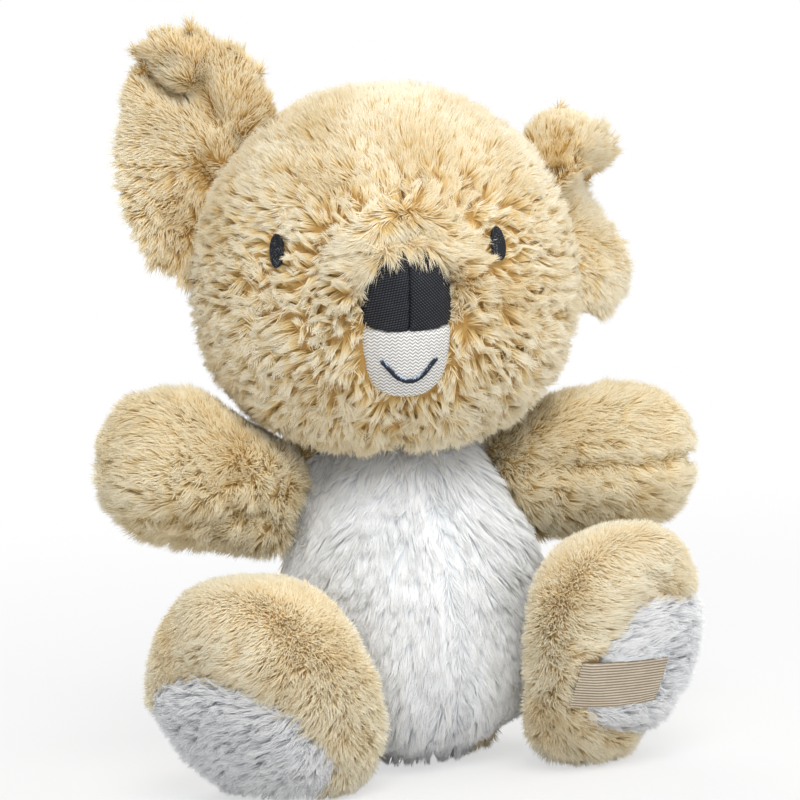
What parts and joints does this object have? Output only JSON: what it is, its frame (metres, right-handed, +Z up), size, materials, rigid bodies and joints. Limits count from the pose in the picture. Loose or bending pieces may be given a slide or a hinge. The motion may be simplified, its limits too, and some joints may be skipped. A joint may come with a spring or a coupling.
{
  "type": "stuffed animal",
  "caption": "Seated plush koala in tan long-pile fur with a white belly, dark cloth nose, stitched eyes and smile, soft ears and white foot pads",
  "frame": {"origin": "the middle of the small flat under the body that the toy sits on", "axes": "+Z up out of the seat through the head, the toy faces -Y, and +X points to the toy's own left"},
  "size_m": [0.1851, 0.1192, 0.23],
  "materials": {
    "tan_plush": "long cream-tan pile, darker at the roots",
    "white_plush": "shorter silky white pile",
    "filling": "loose white fibre",
    "nose_twill": "matt charcoal twill weave",
    "muzzle_cloth": "matt off-white weave",
    "dark_thread": "dark embroidery thread with a slight sheen",
    "seam_thread": "tan sewing thread",
    "ribbon": "matt beige ribbed ribbon"
  },
  "bodies": {
    "body": {"seat_panel": "tan_plush", "body_stuffing": "filling", "belly_left": "white_plush", "belly_right": "white_plush", "back_left": "tan_plush", "back_right": "tan_plush", "closing_thread": "seam_thread"},
    "head": {"face_left": "tan_plush", "face_right": "tan_plush", "head_back_left": "tan_plush", "head_back_right": "tan_plush", "head_stuffing": "filling", "nose_left": "nose_twill", "nose_right": "nose_twill", "muzzle_patch": "muzzle_cloth", "smile_thread": "dark_thread", "eye_left": "dark_thread", "eye_right": "dark_thread"},
    "ear_left": {"ear_left_inner": "tan_plush", "ear_left_back": "tan_plush"},
    "ear_right": {"ear_right_inner": "tan_plush", "ear_right_back": "tan_plush"},
    "arm_left": {"arm_left_upper": "tan_plush", "arm_left_lower": "tan_plush", "arm_left_stuffing": "filling"},
    "arm_right": {"arm_right_upper": "tan_plush", "arm_right_lower": "tan_plush", "arm_right_stuffing": "filling"},
    "leg_left": {"leg_left_outer": "tan_plush", "leg_left_inner": "tan_plush", "leg_left_stuffing": "filling", "foot_pad_left": "white_plush", "foot_ribbon": "ribbon"},
    "leg_right": {"leg_right_outer": "tan_plush", "leg_right_inner": "tan_plush", "leg_right_stuffing": "filling", "foot_pad_right": "white_plush"}
  },
  "joints": [
    {"name": "neck_nod", "type": "hinge", "parent": "body", "child": "head", "pos_m": [-0.00364, 0, 0.08342], "axis": [0.9739, -0.2253, -0.0262], "range_deg": [-10, 12], "stiffness_Nm_per_rad": 0.6},
    {"name": "ear_left_fold", "type": "hinge", "parent": "head", "child": "ear_left", "pos_m": [0.04888, -0.01574, 0.15981], "axis": [-0.2594, -0.3428, 0.9029], "range_deg": [-20, 20], "stiffness_Nm_per_rad": 0.05},
    {"name": "ear_right_fold", "type": "hinge", "parent": "head", "child": "ear_right", "pos_m": [-0.05226, 0.00691, 0.18666], "axis": [0.3163, -0.1003, 0.9433], "range_deg": [-20, 20], "stiffness_Nm_per_rad": 0.05},
    {"name": "arm_left_swing", "type": "hinge", "parent": "body", "child": "arm_left", "pos_m": [0.02984, -0.00485, 0.08939], "axis": [-0.0158, 0.0074, 0.9998], "range_deg": [-18, 16], "stiffness_Nm_per_rad": 0.1},
    {"name": "arm_right_swing", "type": "hinge", "parent": "body", "child": "arm_right", "pos_m": [-0.03752, -0.00485, 0.08645], "axis": [0.2588, 0, 0.9659], "range_deg": [-16, 18], "stiffness_Nm_per_rad": 0.1},
    {"name": "leg_left_splay", "type": "hinge", "parent": "body", "child": "leg_left", "pos_m": [0.03589, -0.0242, 0.03154], "axis": [-0.0337, 0.2396, 0.9703], "range_deg": [-10, 14], "stiffness_Nm_per_rad": 0.2},
    {"name": "leg_right_splay", "type": "hinge", "parent": "body", "child": "leg_right", "pos_m": [-0.04327, -0.01719, 0.02979], "axis": [0.0687, 0.0537, 0.9962], "range_deg": [-14, 10], "stiffness_Nm_per_rad": 0.2}
  ]
}
